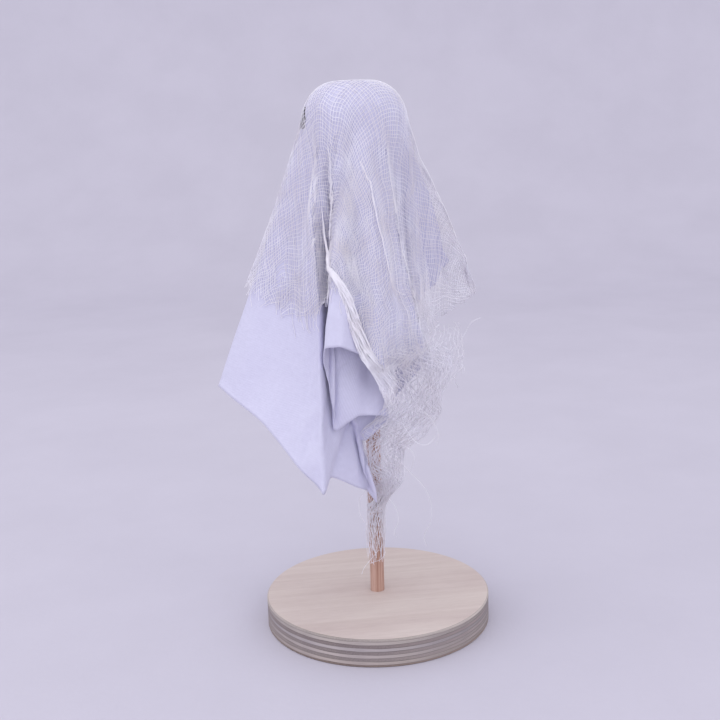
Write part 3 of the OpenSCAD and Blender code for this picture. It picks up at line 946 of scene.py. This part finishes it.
yarn_cotton, tree, shader = new_material("yarn_cotton", srgb(243, 240, 251), 0.9)
shader.inputs["Sheen Weight"].default_value = 0.2
cream = noise(tree, object_place(tree), 70, 4, 0.6)
tone = color_ramp(tree, cream, [(0.35, srgb(238, 233, 241)), (0.65, srgb(247, 245, 255))])
tree.links.new(tone, shader.inputs["Base Color"])
gauze_points = push_out(np.vstack(yarns), sheet_tree, yarn_gap, 0.002)
first = 0
for i, run in enumerate(yarns):
    yarns[i] = gauze_points[first : first + len(run)]
    first += len(run)
gauze_mesh = yarn_tubes("gauze_net", yarns, yarn_r, yarn_sides, yarn_cotton)
gauze_mesh.transform(on_figure)
gauze = add_piece("torn_gauze", gauze_mesh, "figure", ["gauze"])

# The gauze's gathers: where its spare width is drawn together, the yarns lie side by side in rolled folds.
# Each roll runs down over the hung gauze and frays out at its end. Places and radii are in mm, in the
# figure's own frame, seen from the near side.
roll_route = [
    (-14.4, -19.5, 191), (-14.2, -20, 184), (-13.5, -22, 176), (-12, -27, 170), (-10.5, -32, 165.5),
    (-8, -36.5, 161), (-6, -37.5, 156.5), (-4.2, -37.5, 150.5), (-2.4, -38, 144), (1.4, -39, 133.5),
    (4.5, -39.5, 128), (9, -38, 120), (12, -35, 114),
]
roll_widths = (0.1, 0.15, 0.3, 0.5, 0.9, 1.2, 1.5, 1.8, 2.0, 2.1, 2.3, 2.8, 3.4)
ridge_route = [
    (1.3, -27, 209), (3.2, -28, 204), (5, -28.5, 199), (7.4, -30.2, 185), (9.9, -30.3, 172),
    (12.5, -29.5, 162), (14.5, -29, 152),
]
ridge_widths = (0.1, 0.2, 0.3, 0.3, 0.4, 0.8)
roll_sides = 4
# How wide and how deep a roll is for its radius, how wavy its yarns are and how far their ends stray
roll_wide, roll_deep, roll_wave, roll_stray = 1.3, 0.5, 0.00012, 0.005
fray_start = 0.86


def curve_through(points, count):
    """Evenly spaced parameters on a smooth curve through points of any size."""
    points = np.array(points, dtype=float)
    spots = np.linspace(0, len(points) - 1, count)
    i = np.clip(spots.astype(int), 0, len(points) - 2)
    t = (spots - i).reshape((-1,) + (1,) * (points.ndim - 1))
    before, a, b, after = (points[np.clip(i + k, 0, len(points) - 1)] for k in (-1, 0, 1, 2))
    return 0.5 * (2 * a + (b - before) * t + (2 * before - 5 * a + 4 * b - after) * t ** 2
                  + (3 * (a - b) + after - before) * t ** 3)


def bundle(route, widths, yarn_count, twist, fray, join, count=60):
    """A loose rope of yarns along a route. widths are its radii along the way. fray and join are how many of
    its steps the yarns end and start apart."""
    middle = curve_through(route, count) / 1000
    middle = push_out(middle, sheet_tree, 0.0012, 0.01)
    radii = np.interp(np.linspace(0, 1, count), np.linspace(0, 1, len(widths)), widths) / 1000
    along = np.gradient(middle, axis=0)
    along /= np.linalg.norm(along, axis=1)[:, None]
    outward = middle * (1, 1, 0)
    outward -= (outward * along).sum(1)[:, None] * along
    outward /= np.linalg.norm(outward, axis=1)[:, None]
    side = np.cross(along, outward)
    loose = np.clip((np.arange(count) - count * fray_start) / (count * (1 - fray_start)), 0, 1)[:, None] ** 2
    runs = []
    for number in range(yarn_count):
        turn = chance.uniform(0, 2 * math.pi) + twist * np.linspace(0, 1, count) * 2 * math.pi
        turn += 0.5 * np.sin(np.linspace(0, chance.uniform(5, 12), count) + chance.uniform(0, 6))
        deep = math.sqrt(chance.uniform(0.05, 1)) * radii
        start, end = int(join * chance.uniform(0, 1) ** 0.7), count - chance.randint(0, fray)
        across, out = roll_wide * np.cos(turn)[:, None] * side, roll_deep * np.sin(turn)[:, None] * outward
        run = middle + deep[:, None] * (across + out)
        run = run + loose * chance.uniform(-roll_stray, roll_stray, 3)
        wave = np.sin(np.arange(count) * chance.uniform(0.6, 1.3) + chance.uniform(0, 6))
        run += roll_wave * wave[:, None] * side
        runs.append(run[start:end])
    return runs


gathers = bundle(roll_route, roll_widths, yarn_count=90, twist=0.8, fray=9, join=24)
gathers += bundle(ridge_route, ridge_widths, yarn_count=3, twist=2.0, fray=12, join=5)
gather_mesh = yarn_tubes("gathers", gathers, yarn_r, roll_sides, yarn_cotton)
gather_mesh.transform(on_figure)
gather_piece = add_piece("gauze_rolls", gather_mesh, "figure", [])

# The gauze's tail: the torn lower part of the same gauze, drawn together, tangled round the post and frayed
# out down it. Two families of yarns cross on a flattened tube through the sections below, in three layers.
# Each row: a section's middle, its half width, its half depth and how far its right end lies back, in mm.
tail_sections = [
    (18, -31, 130, 13, 1, 9), (19, -28, 122, 14, 2.5, 7), (18, -24, 111, 13, 4, 4),
    (15, -20, 101, 13.5, 4.5, 2), (9, -17, 92, 13, 5, 0), (5, -14, 84, 10, 5.5, 0), (5, -11.5, 75, 8, 5, 0),
    (6, -9, 67, 5.5, 3.6, 0), (3.5, -6, 60, 3.8, 3.4, 0), (0.5, -2, 52, 4.2, 3.9, 0), (0, -1, 40, 4, 3.9, 0),
    (-0.5, -0.5, 27, 3.9, 3.8, 0),
]
# Each layer: its size as a share of the section, its strands of either hand and their twist in radians
tail_layers = [(1.0, 26, 7.5), (0.75, 18, 5.5), (0.45, 12, 3.5)]
tail_yarn_r, tail_steps, section_steps = 0.00012, 120, 200
broken_share = 0.4
post_clear = post_r + 0.0003


def tail_places(turn, way, swell):
    """Points on the tail's flattened tube: turn round it in radians, way down it from 0 to 1."""
    rows = curve_through(tail_sections, section_steps) / 1000
    spot = np.clip(way, 0, 1) * (section_steps - 1)
    x, y, z, wide, deep, back = (np.interp(spot, np.arange(section_steps), rows[:, k]) for k in range(6))
    x = x + wide * np.cos(turn) * swell
    y = y + deep * np.sin(turn) * swell + back * np.cos(turn) * swell
    z = z - 0.05 * np.minimum(way, 0)
    out = np.maximum(np.hypot(x, y), 1e-6)
    push = np.maximum(out, post_clear * (1 + 0.06 * np.sin(turn * 5) ** 2)) / out
    return np.stack([x * push, y * push, z], 1)


tail = []
for layer, (swell, strands, twist) in enumerate(tail_layers):
    for hand in (-1, 1):
        for number in range(strands):
            way = np.linspace(-0.1 * chance.uniform(0, 1) ** 2, chance.uniform(0.78, 1), tail_steps)
            start = whole_turn * (number + chance.uniform(-0.25, 0.25)) / strands
            turn = start + hand * twist * way
            turn = turn + 0.16 * np.sin(way * 31 + 2 * turn) + 0.08 * np.sin(way * 57 + 3 * turn + layer)
            rough = swell * (1 + 0.1 * np.sin(way * 23 + 2 * turn + layer) + 0.05 * np.sin(way * 60 + start))
            run = tail_places(turn, way, rough)
            cut = chance.randint(20, 100)
            broken = chance.uniform(0, 1) < broken_share
            pieces = [run[:cut], run[cut + chance.randint(3, 14):]] if broken else [run]
            tail += [piece for piece in pieces if len(piece) > 4]

# Nets of the tail that stand away from it: the thin flap at the side, and the netting down the post. Each is
# a patch of points in mm, seen from the near side, with two families of yarns crossed over it.
flap_patch = [
    [(24, -27, 141), (31, -16, 140), (38, -10, 139)], [(24, -27, 130), (33, -17, 129), (40, -11, 128)],
    [(23, -26, 120), (32, -18, 119), (40, -12, 118)], [(21, -24, 111), (30, -18, 110), (38, -13, 109)],
]
flap_strands = 18
# Each row of the netting on the post: its height in mm, and the bearings of its two borders in degrees
post_net_rows = [(62, 200, 330), (54, 195, 335), (44, 200, 330), (34, 205, 325), (26, 215, 310)]
post_net_strands = 11
patch_steps = 60


def patch_places(patch, across, down):
    """Points on a smooth patch. across and down run from 0 to 1."""
    rows = curve_through(np.array(patch, dtype=float) / 1000, patch_steps)
    rows = curve_through(rows.transpose(1, 0, 2), patch_steps).transpose(1, 0, 2)
    return grid_at(rows, np.clip(down, 0, 1) * (patch_steps - 1), np.clip(across, 0, 1) * (patch_steps - 1))


flap = []
for hand in (-1, 1):
    for number in range(flap_strands):
        down = np.linspace(chance.uniform(0, 0.2), chance.uniform(0.6, 1), patch_steps)
        across = (number - 5) / 9 + hand * 0.8 * down + 0.02 * np.sin(down * chance.uniform(10, 30) + number)
        across += 0.02 * np.sin(down * chance.uniform(30, 60))
        inside = (across > 0) & (across < 1)
        if inside.sum() > 5:
            run = patch_places(flap_patch, across[inside], down[inside])
            run += 0.0006 * np.sin(down[inside] * 25 + number)[:, None] * np.array((0.3, -1, 0))
            flap.append(run)
post_net = []
net_rows = curve_through(post_net_rows, patch_steps)
for hand in (-1, 1):
    for number in range(post_net_strands):
        down = np.linspace(chance.uniform(0, 0.05), chance.uniform(0.6, 1), patch_steps)
        across = (number + 0.5) / 7 - 0.3 + hand * 0.8 * (down - 0.4) + 0.05 * np.sin(down * 9 + number)
        inside = (across > 0) & (across < 1)
        if inside.sum() < 6:
            continue
        spot = down[inside] * (patch_steps - 1)
        height, left, right = (np.interp(spot, np.arange(patch_steps), net_rows[:, k]) for k in range(3))
        bearing = np.radians(left + (right - left) * across[inside])
        far = post_clear + 0.0002 + 0.0004 * np.abs(np.sin(spot * 0.35 + number))
        post_net.append(np.stack([far * np.cos(bearing), far * np.sin(bearing), height / 1000], 1))

# Loose threads that have slipped out of the weave: curves given in mm, seen from the near side.
loose_threads = [
    [(32, -16, 122), (36, -14, 127), (40, -14, 134), (43, -14, 139), (47, -14, 141)],
    [(9, -16, 82), (15, -18, 75), (21, -18, 68), (24, -18, 61), (24, -18, 52), (21, -18, 45), (22, -17, 40)],
    [(8, -19, 88), (13, -23, 88), (17, -24, 84), (15, -23, 77), (11, -19, 75)],
    [(2, -8, 66), (-4, -8, 63), (-7, -8, 59), (-7, -8, 53), (-5, -7, 48)],
    [(5, -6, 60), (9, -8, 55), (10, -9, 49), (8, -9, 44), (9, -8, 41)],
    [(1, -5, 34), (-3, -7, 30), (-6, -9, 27), (-7, -11, 25)],
    [(4, -5, 33), (2, -6, 30), (-3, -6, 28)],
    [(18, -30, 108), (24, -32, 102), (27, -31, 95), (26, -30, 90)],
    [(12, -30, 100), (17, -33, 93), (22, -32, 91), (26, -30, 94)],
]
threads = [curve_through(np.array(route) / 1000, 36) for route in loose_threads]
tail_mesh = yarn_tubes("tail_net", tail + flap + post_net + threads, tail_yarn_r, yarn_sides, yarn_cotton)
tail_mesh.transform(near_side)
tail_piece = add_piece("gauze_tail_net", tail_mesh, "figure", ["gauze_tail"])
